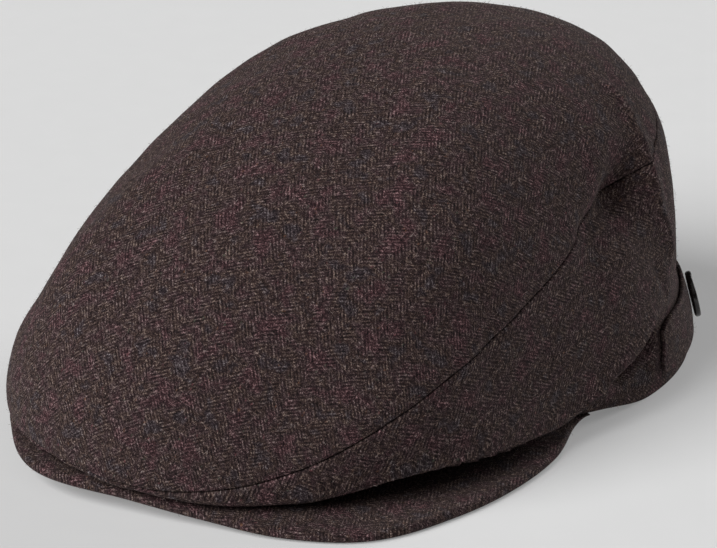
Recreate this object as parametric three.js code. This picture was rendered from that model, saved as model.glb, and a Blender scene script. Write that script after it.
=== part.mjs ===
// Flat cap: a full cloth crown drawn forward over a stiff covered peak.
// Millimetres, +Z up. The peak points to -Y and the wearer's left is +X.
// The cap rests on the back of its hem and on the low sides of its peak.

import * as THREE from 'three';

// Head opening, from its centre to the hem
const OPENING_HALF_WIDTH = 81;
const OPENING_FRONT = 100;
const OPENING_BACK = 95;

// Crown, from the same centre to where it stands out furthest
const CROWN_HALF_WIDTH = 95;
const CROWN_FRONT = 187;
const CROWN_BACK = 86;
const CROWN_HEIGHT = 132;
const CROWN_TOP_AHEAD = 9;

// How far the crown swells out over the left of the peak, and where, in degrees
const SWELL = 10;
const SWELL_ANGLE = 42;
const SWELL_SPREAD = 20;

// Cloth with its backing, and the space left at every seam
const CLOTH = 2;
const SEAM_GAP = 0.3;

// Peak
const PEAK_LIP = 2;
const PEAK_THICKNESS = 3.5;
const PEAK_ARCH = 8;
const PEAK_HOLLOW = 1.8;
const PEAK_WING_ANGLE = 86;

// Half belt round the lower back, with a button near each end
const STRAP_HEIGHT = 23;
const STRAP_ABOVE_HEM = 5.5;
const STRAP_THICKNESS = 1.6;
const STRAP_END_ANGLE = 114;
const STRAP_END_ROUNDING = 6;
const STRAP_CLEARANCE = 0.4;
const BUTTON_RADIUS = 9;
const BUTTON_THICKNESS = 2.5;
const BUTTON_ANGLE = 149;

// Depth of the deepest dent in the crown
const DENT_DEPTH = 8;

// Facets
const COLUMN_STEP = 5;
const TOP_ROWS = 11;
const SIDE_ROWS = 14;
const PEAK_COLUMNS = 36;
const STRAP_COLUMNS = 24;
const STRAP_ROWS = 4;
const BUTTON_SIDES = 28;

// Share of the travel over which slopes are taken
const NORMAL_STEP = 0.004;

const CLOTH_ROUGHNESS = 0.95;
const BUTTON_ROUGHNESS = 0.25;

// The crown's meridians, from the front centre (0 degrees) round to the back (180).
//   reach  widest point, share of the crown's outline
//   bulge  height of the widest point, share of the crown's height
//   dome   how far the top stays level, share of the way out
//   cheek  how steeply the side falls, share of the fall
//   seam   edge of the top panel, as a travel: 0 at the top, 1 at the bulge
//   rim    height of the hem, share of the crown's height
//   drop   how far the cloth hangs below the bulge, share of the crown's height
//   tuck   how far it is drawn in there, share of the way to the hem
//   stand  how far it stands above the hem there, share of the crown's height
const MERIDIANS = [
  {
    theta: 0, reach: 1.0, bulge: 0.122, dome: 0.43, cheek: 0.46,
    seam: 1.02, rim: 0.185, drop: 0.08, tuck: 0.5, stand: -0.03,
  },
  {
    theta: 25, reach: 1.05, bulge: 0.077, dome: 0.49, cheek: 0.54,
    seam: 0.97, rim: 0.12, drop: 0.06, tuck: 0.5, stand: 0.01,
  },
  {
    theta: 50, reach: 1.05, bulge: 0.117, dome: 0.59, cheek: 0.69,
    seam: 0.852, rim: 0.05, drop: 0.02, tuck: 0.5, stand: 0.13,
  },
  {
    theta: 70, reach: 0.985, bulge: 0.09, dome: 0.63, cheek: 0.775,
    seam: 0.767, rim: 0.044, drop: 0.025, tuck: 0.7, stand: 0.09,
  },
  {
    theta: 90, reach: 0.92, bulge: 0.18, dome: 0.645, cheek: 0.8,
    seam: 0.722, rim: 0.03, drop: 0.08, tuck: 1, stand: 0.06,
  },
  {
    theta: 110, reach: 0.89, bulge: 0.265, dome: 0.635, cheek: 0.77,
    seam: 0.708, rim: 0, drop: 0.11, tuck: 1, stand: 0.1,
  },
  {
    theta: 120, reach: 0.895, bulge: 0.29, dome: 0.64, cheek: 0.78,
    seam: 0.695, rim: 0, drop: 0.1, tuck: 1, stand: 0.14,
  },
  {
    theta: 135, reach: 0.905, bulge: 0.315, dome: 0.655, cheek: 0.795,
    seam: 0.67, rim: 0, drop: 0.1, tuck: 1, stand: 0.15,
  },
  {
    theta: 180, reach: 0.96, bulge: 0.35, dome: 0.67, cheek: 0.8,
    seam: 0.61, rim: 0, drop: 0.11, tuck: 1, stand: 0.16,
  },
];

// The peak's outline: how far it stands out from the hem, as a share of its full
// projection, and the height of its edge, as a share of its arch.
const PEAK_OUTLINE = [
  { theta: 0, projection: 1, edge: 1 },
  { theta: 12, projection: 0.9, edge: 0.92 },
  { theta: 20, projection: 0.84, edge: 0.56 },
  { theta: 30, projection: 0.826, edge: 0.3 },
  { theta: 40, projection: 0.775, edge: 0.25 },
  { theta: 50, projection: 0.584, edge: 0.25 },
  { theta: 60, projection: 0.391, edge: 0.27 },
  { theta: 70, projection: 0.21, edge: 0.29 },
  { theta: 80, projection: 0.03, edge: 0.3 },
  { theta: 86, projection: 0, edge: 0.29 },
];

// Shares of the way across the peak, from its root to its edge
const PEAK_ROWS = [0, 0.2, 0.4, 0.6, 0.8, 0.95];

// Dents and, with a depth below zero, ridges: a place on the crown as an angle (left is
// positive) and a travel (0 at the top, 1 at the bulge, 2 at the hem), their spread, and
// a share of the deepest dent.
const DENTS = [
  { theta: 100, travel: 0.72, spreadTheta: 9, spreadTravel: 0.085, depth: 1 },
  { theta: 88, travel: 0.76, spreadTheta: 9, spreadTravel: 0.06, depth: 0.5 },
  { theta: 96, travel: 1, spreadTheta: 14, spreadTravel: 0.06, depth: -0.25 },
  { theta: 96, travel: 1.3, spreadTheta: 14, spreadTravel: 0.18, depth: 0.7 },
  { theta: 57, travel: 0.9, spreadTheta: 12, spreadTravel: 0.07, depth: 0.34 },
  { theta: 55, travel: 0.78, spreadTheta: 10, spreadTravel: 0.1, depth: 0.22 },
  { theta: 115, travel: 0.7, spreadTheta: 6, spreadTravel: 0.2, depth: -0.22 },
  { theta: -8, travel: 0.6, spreadTheta: 7, spreadTravel: 0.2, depth: -0.2 },
  { theta: -97, travel: 0.71, spreadTheta: 12, spreadTravel: 0.1, depth: 0.4 },
  { theta: -98, travel: 1.3, spreadTheta: 12, spreadTravel: 0.16, depth: 0.4 },
  { theta: -118, travel: 0.7, spreadTheta: 7, spreadTravel: 0.2, depth: -0.2 },
];

// Slope of a column at one row: level at both ends of the table and where it turns
function columnSlope(rows, column, index) {
  if (index === 0 || index === rows.length - 1) {
    return 0;
  }
  const [before, here, after] = rows.slice(index - 1, index + 2);
  const slopeBefore = (here[column] - before[column]) / (here.theta - before.theta);
  const slopeAfter = (after[column] - here[column]) / (after.theta - here.theta);
  if (slopeBefore * slopeAfter <= 0) {
    return 0;
  }
  const share = (after.theta - here.theta) / (after.theta - before.theta);
  return slopeBefore * share + slopeAfter * (1 - share);
}

// Smooth value of a column at any angle, the same on the left and the right
function columnValue(rows, column, theta) {
  const turned = THREE.MathUtils.euclideanModulo(theta + 180, 360) - 180;
  const angle = Math.abs(turned);
  const found = rows.findIndex((row) => row.theta >= angle);
  const index = Math.max(1, found);
  const from = rows[index - 1];
  const to = rows[index];
  const span = to.theta - from.theta;
  const w = (angle - from.theta) / span;
  const fromSlope = columnSlope(rows, column, index - 1) * span;
  const toSlope = columnSlope(rows, column, index) * span;
  const rise = to[column] - from[column];
  return from[column] + w * fromSlope
    + w * w * (3 * rise - 2 * fromSlope - toSlope)
    + w * w * w * (fromSlope + toSlope - 2 * rise);
}

function bezier(a, b, c, d, w) {
  const u = 1 - w;
  return u * u * u * a + 3 * u * u * w * b + 3 * u * w * w * c + w * w * w * d;
}

// Radius at an angle of an outline made of two half ellipses
function outlineRadius(theta, halfWidth, front, back) {
  const angle = THREE.MathUtils.degToRad(theta);
  const length = Math.cos(angle) > 0 ? front : back;
  return 1 / Math.hypot(Math.sin(angle) / halfWidth, Math.cos(angle) / length);
}

function hemRadius(theta) {
  return outlineRadius(theta, OPENING_HALF_WIDTH, OPENING_FRONT, OPENING_BACK);
}

function swell(theta) {
  return SWELL * Math.exp(-(((theta - SWELL_ANGLE) / SWELL_SPREAD) ** 2));
}

function hemHeight(theta) {
  return columnValue(MERIDIANS, 'rim', theta) * CROWN_HEIGHT;
}

// Point of the smooth crown: travel is 0 at the top, 1 at the bulge, 2 at the hem
function smoothCrown(theta, travel) {
  const share = (column) => columnValue(MERIDIANS, column, theta);
  const outline = outlineRadius(theta, CROWN_HALF_WIDTH, CROWN_FRONT, CROWN_BACK);
  const bulgeRadius = outline * share('reach') + swell(theta);
  const bulgeHeight = share('bulge') * CROWN_HEIGHT;
  const hem = hemHeight(theta);
  const angle = THREE.MathUtils.degToRad(theta);
  const direction = new THREE.Vector2(Math.sin(angle), -Math.cos(angle));
  const bulge = direction.clone().multiplyScalar(bulgeRadius);
  if (travel <= 1) {
    const top = new THREE.Vector2(0, -CROWN_TOP_AHEAD);
    const plan = top.lerp(bulge, bezier(0, share('dome'), 1, 1, travel));
    const knee = bulgeHeight + share('cheek') * (CROWN_HEIGHT - bulgeHeight);
    const height = bezier(CROWN_HEIGHT, CROWN_HEIGHT, knee, bulgeHeight, travel);
    return new THREE.Vector3(plan.x, plan.y, height);
  }
  const edge = direction.multiplyScalar(hemRadius(theta));
  const plan = bulge.lerp(edge, bezier(0, 0, share('tuck'), 1, travel - 1));
  const sagged = bulgeHeight - share('drop') * CROWN_HEIGHT;
  const standing = hem + share('stand') * CROWN_HEIGHT;
  const height = bezier(bulgeHeight, sagged, standing, hem, travel - 1);
  return new THREE.Vector3(plan.x, plan.y, height);
}

// Outward normal of a surface given as a function of angle and travel
function surfaceNormal(surface, theta, travel) {
  const at = Math.max(travel, NORMAL_STEP);
  const turn = NORMAL_STEP * 180;
  const round = surface(theta + turn, at).sub(surface(theta - turn, at));
  const above = surface(theta, Math.max(at - NORMAL_STEP, NORMAL_STEP / 2));
  const below = surface(theta, Math.min(at + NORMAL_STEP, 2));
  return below.sub(above).cross(round).normalize();
}

function dentDepth(theta, travel) {
  let depth = 0;
  for (const dent of DENTS) {
    const across = (theta - dent.theta) / dent.spreadTheta;
    const along = (travel - dent.travel) / dent.spreadTravel;
    depth += DENT_DEPTH * dent.depth * Math.exp(-across * across - along * along);
  }
  return depth;
}

// Point of the crown's outer face; dents leave the very top in place
function crown(theta, travel) {
  const point = smoothCrown(theta, travel);
  const depth = travel === 0 ? 0 : dentDepth(theta, travel);
  return point.addScaledVector(surfaceNormal(smoothCrown, theta, travel), -depth);
}

// The crown's outer face at stand 0, or that far outside it
function crownOffset(theta, travel, stand) {
  const upright = new THREE.Vector3(0, 0, 1);
  const normal = travel === 0 ? upright : surfaceNormal(crown, theta, travel);
  return crown(theta, travel).addScaledVector(normal, stand);
}

// Closed solid from points and faces: near points are welded, faces that collapse
// are left out, and all faces are turned outwards.
function solid(points, faces) {
  const places = new Map();
  const positions = [];
  const welded = points.map((point) => {
    const key = point.toArray().map((value) => value.toFixed(3)).join();
    if (!places.has(key)) {
      places.set(key, places.size);
      positions.push(...point.toArray());
    }
    return places.get(key);
  });
  const kept = faces
    .map((face) => face.map((corner) => welded[corner]))
    .filter(([a, b, c]) => a !== b && b !== c && c !== a);
  const corner = (index) => new THREE.Vector3().fromArray(positions, index * 3);
  const volume = kept
    .map(([a, b, c]) => corner(a).dot(corner(b).cross(corner(c))))
    .reduce((sum, part) => sum + part, 0);
  const outward = volume > 0 ? kept : kept.map(([a, b, c]) => [a, c, b]);
  const geometry = new THREE.BufferGeometry();
  geometry.setAttribute('position', new THREE.Float32BufferAttribute(positions, 3));
  geometry.setIndex(outward.flat());
  geometry.computeVertexNormals();
  return geometry;
}

// Sheet with thickness between two grids of points, closed round its border
function shell(outer, inner, wraps) {
  const rows = outer.length;
  const columns = outer[0].length;
  const outerAt = (row, column) => row * columns + (column % columns);
  const innerAt = (row, column) => rows * columns + outerAt(row, column);
  const faces = [];
  const quad = (a, b, c, d) => faces.push([a, b, c], [a, c, d]);
  const strips = wraps ? columns : columns - 1;
  const last = rows - 1;
  for (let column = 0; column < strips; column += 1) {
    const next = column + 1;
    for (let row = 0; row < last; row += 1) {
      quad(outerAt(row, column), outerAt(row + 1, column), outerAt(row + 1, next), outerAt(row, next));
      quad(innerAt(row, column), innerAt(row, next), innerAt(row + 1, next), innerAt(row + 1, column));
    }
    quad(outerAt(0, column), outerAt(0, next), innerAt(0, next), innerAt(0, column));
    quad(outerAt(last, column), innerAt(last, column), innerAt(last, next), outerAt(last, next));
  }
  if (!wraps) {
    for (let row = 0; row < last; row += 1) {
      quad(outerAt(row, 0), innerAt(row, 0), innerAt(row + 1, 0), outerAt(row + 1, 0));
      quad(outerAt(row, strips), outerAt(row + 1, strips), innerAt(row + 1, strips), innerAt(row, strips));
    }
  }
  return solid([...outer.flat(), ...inner.flat()], faces);
}

// Evenly spaced values from one end to the other, both included
function spread(from, to, steps) {
  return Array.from({ length: steps + 1 }, (_, index) => from + ((to - from) * index) / steps);
}

function cloth(name, geometry, colour) {
  const look = { color: colour, roughness: CLOTH_ROUGHNESS, metalness: 0 };
  const material = new THREE.MeshStandardMaterial(look);
  const mesh = new THREE.Mesh(geometry, material);
  mesh.name = name;
  return mesh;
}

// Half the seam gap as a travel, at an angle on the top panel's edge
function seamMargin(theta, travel) {
  const below = crown(theta, travel + NORMAL_STEP);
  const above = crown(theta, travel - NORMAL_STEP);
  return (SEAM_GAP * NORMAL_STEP) / below.distanceTo(above);
}

function seamTravel(theta, side) {
  const travel = columnValue(MERIDIANS, 'seam', theta);
  return travel + side * seamMargin(theta, travel);
}

function topPanel() {
  const angles = spread(-180, 180, 360 / COLUMN_STEP).slice(0, -1);
  const rowAt = (share, stand) => angles.map((theta) => {
    const travel = share * seamTravel(theta, -1);
    return crownOffset(theta, travel, stand);
  });
  const shares = spread(0, 1, TOP_ROWS);
  const outer = shares.map((share) => rowAt(share, 0));
  const inner = shares.map((share) => rowAt(share, -CLOTH));
  return shell(outer, inner, true);
}

// Side panel from the top seam round the fold to the hem; side is 1 on the left
function sidePanel(side) {
  const angles = spread(0, 180, 180 / COLUMN_STEP);
  const place = (theta, travel, stand) => {
    const point = crownOffset(side * theta, travel, stand);
    const onCentreSeam = theta === 0 || theta === 180;
    point.x = onCentreSeam ? (side * SEAM_GAP) / 2 : point.x;
    return point;
  };
  const rowAt = (share, stand) => angles.map((theta) => {
    const travel = THREE.MathUtils.lerp(seamTravel(side * theta, 1), 2, share);
    return place(theta, travel, stand);
  });
  const face = (stand) => spread(0, 1, SIDE_ROWS).map((share) => rowAt(share, stand));
  return shell(face(0), face(-CLOTH), false);
}

// Middle of the peak's thickness at an angle and a share of the way to its edge
function peakMiddle(theta, share) {
  const root = hemRadius(theta) - CLOTH;
  const projection = columnValue(PEAK_OUTLINE, 'projection', theta);
  const edge = hemRadius(theta) + projection * (CROWN_FRONT + PEAK_LIP - OPENING_FRONT);
  const rootHeight = hemHeight(theta) - SEAM_GAP - PEAK_THICKNESS / 2;
  const edgeHeight = PEAK_ARCH * columnValue(PEAK_OUTLINE, 'edge', theta);
  const hollow = PEAK_HOLLOW * projection * 4 * share * (1 - share);
  const radius = THREE.MathUtils.lerp(root, edge, share);
  const height = THREE.MathUtils.lerp(rootHeight, edgeHeight, share) - hollow;
  const angle = THREE.MathUtils.degToRad(theta);
  return new THREE.Vector3(radius * Math.sin(angle), -radius * Math.cos(angle), height);
}

function peak() {
  const angles = spread(-PEAK_WING_ANGLE, PEAK_WING_ANGLE, PEAK_COLUMNS);
  const face = (side) => {
    const flat = PEAK_ROWS.map((share) => ({ share, rise: side * PEAK_THICKNESS / 2 }));
    const rounded = { share: 1, rise: side * PEAK_THICKNESS / 4 };
    return [...flat, rounded].map(({ share, rise }) => angles.map((theta) => {
      const point = peakMiddle(theta, share);
      point.z += rise;
      return point;
    }));
  };
  return shell(face(1), face(-1), false);
}

// Travel at which the lower crown passes a height, found by halving
function travelAtHeight(theta, height) {
  let low = 1;
  let high = 2;
  while (high - low > 2 * Number.EPSILON) {
    const middle = (low + high) / 2;
    if (crown(theta, middle).z > height) {
      low = middle;
    } else {
      high = middle;
    }
  }
  return low;
}

function halfBelt() {
  const angles = spread(STRAP_END_ANGLE, 360 - STRAP_END_ANGLE, STRAP_COLUMNS);
  const middle = STRAP_ABOVE_HEM + STRAP_HEIGHT / 2;
  // The end narrows over the rounding, as an ellipse does
  const halfHeight = (theta) => {
    const fromEnd = Math.min(theta - STRAP_END_ANGLE, 360 - STRAP_END_ANGLE - theta);
    const left = Math.max(0, 1 - fromEnd / STRAP_END_ROUNDING);
    return (STRAP_HEIGHT / 2) * (0.5 + 0.5 * Math.sqrt(1 - left * left));
  };
  const face = (stand) => spread(1, -1, STRAP_ROWS).map((share) => angles.map((theta) => {
    const travel = travelAtHeight(theta, middle + share * halfHeight(theta));
    return crownOffset(theta, travel, stand);
  }));
  return shell(face(STRAP_CLEARANCE + STRAP_THICKNESS), face(STRAP_CLEARANCE), false);
}

// Round button with a dished face inside a raised rim; its back lies on the belt
function button(name, side) {
  const profile = [
    [0, 0],
    [0.9, 0],
    [1, 0.2],
    [1, 0.7],
    [0.93, 1],
    [0.8, 0.95],
    [0.68, 0.7],
    [0, 0.8],
  ].map(([out, up]) => new THREE.Vector2(out * BUTTON_RADIUS, up * BUTTON_THICKNESS));
  const look = { color: 0x1b1716, roughness: BUTTON_ROUGHNESS, metalness: 0 };
  const material = new THREE.MeshStandardMaterial(look);
  const mesh = new THREE.Mesh(new THREE.LatheGeometry(profile, BUTTON_SIDES), material);
  const theta = side * BUTTON_ANGLE;
  const travel = travelAtHeight(theta, STRAP_ABOVE_HEM + STRAP_HEIGHT / 2);
  const stand = STRAP_CLEARANCE + STRAP_THICKNESS + SEAM_GAP;
  mesh.position.copy(crownOffset(theta, travel, stand));
  const axis = new THREE.Vector3(0, 1, 0);
  mesh.quaternion.setFromUnitVectors(axis, surfaceNormal(crown, theta, travel));
  mesh.name = name;
  return mesh;
}

const cap = new THREE.Group();
cap.add(
  cloth('crown_top', topPanel(), 0x423635),
  cloth('side_panel_left', sidePanel(1), 0x3a302f),
  cloth('side_panel_right', sidePanel(-1), 0x3a302f),
  cloth('peak', peak(), 0x443836),
  cloth('back_strap', halfBelt(), 0x39302f),
  button('strap_button_left', 1),
  button('strap_button_right', -1),
);

// The origin is the middle of the cap's footprint, on the surface it rests on
cap.updateMatrixWorld(true);
const bounds = new THREE.Box3().setFromObject(cap);
cap.position.set(0, -(bounds.min.y + bounds.max.y) / 2, -bounds.min.z);

export default cap;
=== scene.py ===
"""Flat cap in dark herringbone tweed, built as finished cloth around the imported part.

Metres, +Z up, the peak points to -Y and the wearer's left is +X, as in the part.
"""

import math

import bmesh
import bpy
import numpy as np
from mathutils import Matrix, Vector, noise


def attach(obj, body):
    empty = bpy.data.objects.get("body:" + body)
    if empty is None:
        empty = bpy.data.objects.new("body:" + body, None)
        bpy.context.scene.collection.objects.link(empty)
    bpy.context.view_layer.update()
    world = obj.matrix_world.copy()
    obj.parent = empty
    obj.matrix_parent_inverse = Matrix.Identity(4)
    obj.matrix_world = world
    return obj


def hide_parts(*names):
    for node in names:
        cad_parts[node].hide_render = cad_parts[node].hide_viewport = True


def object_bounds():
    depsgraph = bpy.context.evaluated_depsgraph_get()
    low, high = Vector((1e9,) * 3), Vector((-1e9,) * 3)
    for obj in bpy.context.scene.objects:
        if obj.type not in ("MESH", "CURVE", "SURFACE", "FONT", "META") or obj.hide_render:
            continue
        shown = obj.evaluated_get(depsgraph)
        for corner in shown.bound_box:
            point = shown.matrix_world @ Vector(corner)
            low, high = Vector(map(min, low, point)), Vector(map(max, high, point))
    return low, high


bl_info = {
    "name": "Flat cap",
    "version": (1, 0, 0),
    "blender": (4, 5, 0),
    "location": "3D View > Sidebar > Flat cap",
    "description": "Builds a tweed flat cap piece by piece, with its stage",
    "category": "Object",
}

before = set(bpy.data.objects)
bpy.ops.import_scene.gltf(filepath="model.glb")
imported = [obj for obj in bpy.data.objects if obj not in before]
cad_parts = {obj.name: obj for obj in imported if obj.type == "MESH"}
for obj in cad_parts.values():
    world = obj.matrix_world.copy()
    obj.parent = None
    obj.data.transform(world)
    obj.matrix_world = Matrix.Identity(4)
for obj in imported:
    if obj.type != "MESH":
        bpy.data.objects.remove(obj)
CAD_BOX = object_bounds()

MM = 0.001

# The crown's meridians, from the front centre (0 degrees) round to the back (180).
#   reach  widest point, share of the crown's outline
#   bulge  height of the widest point, share of the crown's height
#   dome   how far the top stays level, share of the way out
#   cheek  how steeply the side falls, share of the fall
#   seam   edge of the top panel, as a travel: 0 at the top, 1 at the bulge
#   rim    height of the hem, share of the crown's height
#   drop   how far the cloth hangs below the bulge, share of the crown's height
#   tuck   how far it is drawn in there, share of the way to the hem
#   stand  how far it stands above the hem there, share of the crown's height
MERIDIAN_COLUMNS = (
    "theta", "reach", "bulge", "dome", "cheek", "seam", "rim", "drop", "tuck", "stand",
)
MERIDIANS = (
    (0, 1.0, 0.122, 0.43, 0.46, 1.02, 0.185, 0.08, 0.5, -0.03),
    (25, 1.05, 0.077, 0.49, 0.54, 0.97, 0.12, 0.06, 0.5, 0.01),
    (50, 1.05, 0.117, 0.59, 0.69, 0.852, 0.05, 0.02, 0.5, 0.13),
    (70, 0.985, 0.09, 0.63, 0.775, 0.767, 0.044, 0.025, 0.7, 0.09),
    (90, 0.92, 0.18, 0.645, 0.8, 0.722, 0.03, 0.08, 1, 0.06),
    (110, 0.89, 0.265, 0.635, 0.77, 0.708, 0, 0.11, 1, 0.1),
    (120, 0.895, 0.29, 0.64, 0.78, 0.695, 0, 0.1, 1, 0.14),
    (135, 0.905, 0.315, 0.655, 0.795, 0.67, 0, 0.1, 1, 0.15),
    (180, 0.96, 0.35, 0.67, 0.8, 0.61, 0, 0.11, 1, 0.16),
)

# The peak's outline: how far it stands out from the hem, as a share of its full
# projection, and the height of its edge, as a share of its arch.
PEAK_COLUMNS = ("theta", "projection", "edge")
PEAK_OUTLINE = (
    (0, 1, 1),
    (12, 0.9, 0.92),
    (20, 0.84, 0.56),
    (30, 0.826, 0.3),
    (40, 0.775, 0.25),
    (50, 0.584, 0.25),
    (60, 0.391, 0.27),
    (70, 0.21, 0.29),
    (80, 0.03, 0.3),
    (86, 0, 0.29),
)

# Dents and, with a depth below zero, ridges: a place on the crown as an angle (left is
# positive) and a travel (0 at the top, 1 at the bulge, 2 at the hem), their spread, and
# a share of the deepest dent.
DENT_COLUMNS = ("theta", "travel", "spread_theta", "spread_travel", "depth")
DENTS = (
    (100, 0.72, 9, 0.085, 1),
    (88, 0.76, 9, 0.06, 0.5),
    (96, 1, 14, 0.06, -0.25),
    (96, 1.3, 14, 0.18, 0.7),
    (57, 0.9, 12, 0.07, 0.34),
    (55, 0.78, 10, 0.1, 0.22),
    (115, 0.7, 6, 0.2, -0.22),
    (-8, 0.6, 7, 0.2, -0.2),
    (-97, 0.71, 12, 0.1, 0.4),
    (-98, 1.3, 12, 0.16, 0.4),
    (-118, 0.7, 7, 0.2, -0.2),
)

# Creases and soft ridges in the cloth, each along a line over the crown from one angle
# and travel to another, with its half width and height in millimetres.
FOLD_COLUMNS = ("theta_a", "travel_a", "theta_b", "travel_b", "width", "height")
FOLDS = (
    (118, 0.44, 113, 0.63, 2.3, 1.8),
    (113, 0.57, 113, 0.86, 2.3, 2.2),
    (113, 0.8, 119, 0.96, 2.3, 1.8),
    (121, 0.5, 120, 0.9, 4.0, -0.8),
    (-20, 0.34, -17, 0.92, 17.0, -2.6),
    (-52, 1.25, 14, 1.2, 6.0, -2.6),
    (8, 1.35, 62, 1.4, 7.0, -1.0),
    (-14, 0.45, -14, 0.72, 4.5, -0.7),
    (112, 0.7, 92, 0.725, 5.5, -2.2),
    (98, 0.72, 78, 0.735, 4.5, -1.8),
    (104, 0.82, 82, 0.82, 7.0, 0.9),
    (110, 0.59, 85, 0.62, 7.0, 0.9),
    (55, 0.7, 56, 0.94, 5.0, -0.9),
    (26, 0.95, 66, 0.79, 13.0, 2.2),
    (106, 0.88, 117, 1.02, 2.4, -1.2),
    (103, 0.95, 112, 1.12, 3.0, 0.8),
    (110, 0.8, 118, 0.93, 2.6, 0.6),
    (74, 1.03, 112, 1.02, 3.2, 2.2),
    (84, 1.3, 113, 1.22, 5.5, -1.6),
    (114, 1.12, 90, 1.6, 6.0, -3.4),
    (112, 1.5, 98, 1.85, 4.0, -1.2),
    (-67, 0.11, 165, 0.2, 6.0, 0.6),
    (165, 0.2, 150, 0.33, 6.0, 0.6),
    (30, 0.55, 60, 0.5, 9.0, -0.6),
    (-110, 0.66, -88, 0.73, 6.0, -1.5),
    (-58, 0.7, -56, 0.94, 5.0, -0.8),
    (-108, 0.88, -117, 1.02, 2.6, -1.0),
    (-78, 1.02, -117, 1.0, 3.2, 1.4),
    (-84, 1.3, -113, 1.22, 5.5, -1.4),
    (150, 0.45, 146, 0.9, 6.0, -0.6),
    (-158, 0.5, -150, 0.9, 7.0, 0.6),
)

# Share of the travel over which slopes are taken, and the halvings that find a height
NORMAL_STEP = 0.004
HEIGHT_PASSES = 24

# Soft lamps. turn is the way round from the picture's right side, over the back (90) to
# its left (180); rise is the height above the floor and softness the width, in degrees.
LAMP_COLUMNS = ("name", "turn", "rise", "strength", "softness")
LAMPS = (
    ("key", 214, 38, 3.5, 44),
    ("front", 285, 55, 0.2, 60),
    ("back", 38, 22, 1.4, 40),
)

# Length in metres that a panel's columns are taken to have, where their lines lie closer
# to each other beside an edge
PANEL_RUN = 0.12

# Folds: the places that a line is sampled at, and the share over which its ends fade
FOLD_SAMPLES = 40
FOLD_TAPER = 0.3

# Unevenness of the cloth: lumps of two sizes in millimetres, the finer with a share of
# the height, and the length and reach of the ripples beside a seam
BROAD_LUMPS, FINE_LUMPS, FINE_SHARE = 34, 13, 0.45
RIPPLE_LENGTH, RIPPLE_REACH = 5, 6

# Peak: the last degrees over which its board thins out, so that no end hooks out of the
# hem, the share of its thickness left there, and its cover's ripples in millimetres
PEAK_THINNING, PEAK_THINNEST = 12, 0.15
COVER_RIPPLE, COVER_RIPPLE_LENGTH = 0.25, 16

# Stitch line along the belt's edge: its place, half width and depth in millimetres
STITCH_PLACE, STITCH_WIDTH, STITCH_DEPTH = 2.6, 0.8, 0.25

# Middle of the cap, which the camera turns round, and how far to the left of it and
# below it the camera aims, in millimetres
CAP_MIDDLE = (0, 30.85, 51)
AIM_LEFT, AIM_BELOW = 25.05, 15.27

# Stray fibres: share of the length that lies in the cloth, the most that one leans over
# in radians, and the shortest as a share of the longest
FIBRE_ROOT = 0.15
FIBRE_TILT = 0.7
FIBRE_SHORTEST = 0.4


def named_columns(names, rows):
    """A table as one array for each of its columns"""
    return dict(zip(names, np.array(rows, float).T))


MERIDIAN = named_columns(MERIDIAN_COLUMNS, MERIDIANS)
PEAK = named_columns(PEAK_COLUMNS, PEAK_OUTLINE)


def column_value(table, name, theta):
    """Smooth value of a column at any angle, the same on the left and the right"""
    angle = np.abs((np.asarray(theta, float) + 180) % 360 - 180)
    at, value = table["theta"], table[name]
    step = np.diff(at)
    slope = np.diff(value) / step
    weighted = (slope[:-1] * step[1:] + slope[1:] * step[:-1]) / (step[1:] + step[:-1])
    tangent = np.zeros(len(at))
    tangent[1:-1] = np.where(slope[:-1] * slope[1:] <= 0, 0, weighted)
    index = np.clip(np.searchsorted(at, angle), 1, len(at) - 1)
    span = step[index - 1]
    w = (angle - at[index - 1]) / span
    start, rise = value[index - 1], value[index] - value[index - 1]
    from_slope, to_slope = tangent[index - 1] * span, tangent[index] * span
    return (
        start
        + w * from_slope
        + w**2 * (3 * rise - 2 * from_slope - to_slope)
        + w**3 * (from_slope + to_slope - 2 * rise)
    )


def bezier(a, b, c, d, w):
    u = 1 - w
    return u**3 * a + 3 * u**2 * w * b + 3 * u * w**2 * c + w**3 * d


def outline_radius(theta, half_width, front, back):
    """Radius at an angle of an outline made of two half ellipses"""
    angle = np.radians(theta)
    length = np.where(np.cos(angle) > 0, front, back)
    return 1 / np.hypot(np.sin(angle) / half_width, np.cos(angle) / length)


def heading(theta):
    """Direction in plan at an angle from the front centre"""
    angle = np.radians(theta)
    return np.stack([np.sin(angle), -np.cos(angle)], -1)


def unit(vectors):
    return vectors / np.maximum(np.linalg.norm(vectors, axis=-1, keepdims=True), 1e-12)


def smooth_step(value):
    held = np.clip(value, 0, 1)
    return held * held * (3 - 2 * held)


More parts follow.
